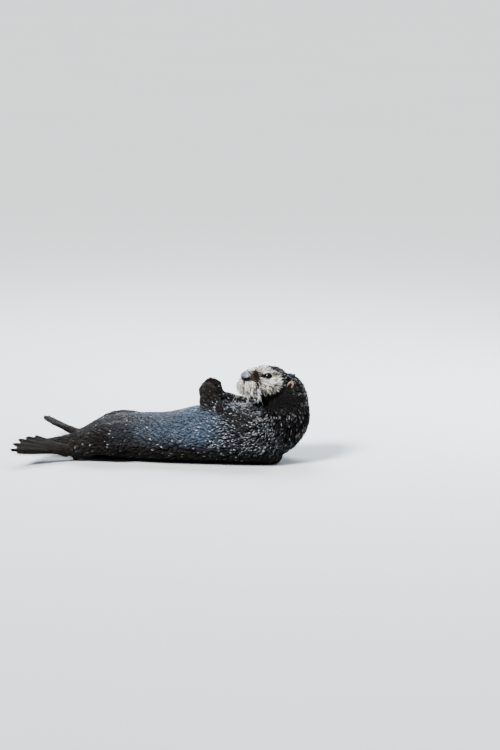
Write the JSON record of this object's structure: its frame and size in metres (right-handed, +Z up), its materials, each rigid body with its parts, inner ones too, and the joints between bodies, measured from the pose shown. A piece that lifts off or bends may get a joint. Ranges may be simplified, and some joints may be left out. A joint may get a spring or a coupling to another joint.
{
  "type": "sea otter",
  "caption": "Life-size sea otter lying on its back, wet coat, forepaws held up together over the chest and the head raised and turned to look past its left shoulder.",
  "frame": {"origin": "on the floor, under the middle of the box round the whole animal", "axes": "+X from the tail towards the shoulders, +Y towards the otter's right side (its left side faces -Y), +Z up, towards the belly"},
  "size_m": [0.9956, 0.5072, 0.3289],
  "materials": {
    "head_fur": "pale cream and silver-grey fur, brown between nose and eye",
    "neck_fur": "wet near-black brown fur in pointed clumps",
    "body_fur": "wet near-black brown fur with a cool sheen",
    "paw_fur": "short wet dark brown fur",
    "flipper_fur": "short wet dark brown fur over webbed skin",
    "nose_leather": "moist pebbled black skin",
    "eye": "wet dark brown, glossy",
    "ear": "thick rolled skin, thinly furred"
  },
  "bodies": {
    "root": {"head": "head_fur", "nose": "nose_leather", "eye_left": "eye", "eye_right": "eye", "ear_left": "ear", "ear_right": "ear", "neck": "neck_fur", "trunk": "body_fur", "tail": "body_fur", "foreleg_left": "body_fur", "foreleg_right": "body_fur", "forepaw_left": "paw_fur", "forepaw_right": "paw_fur", "hindleg_left": "body_fur", "hindleg_right": "body_fur", "hind_flipper_left": "flipper_fur", "hind_flipper_right": "flipper_fur"}
  },
  "joints": []
}
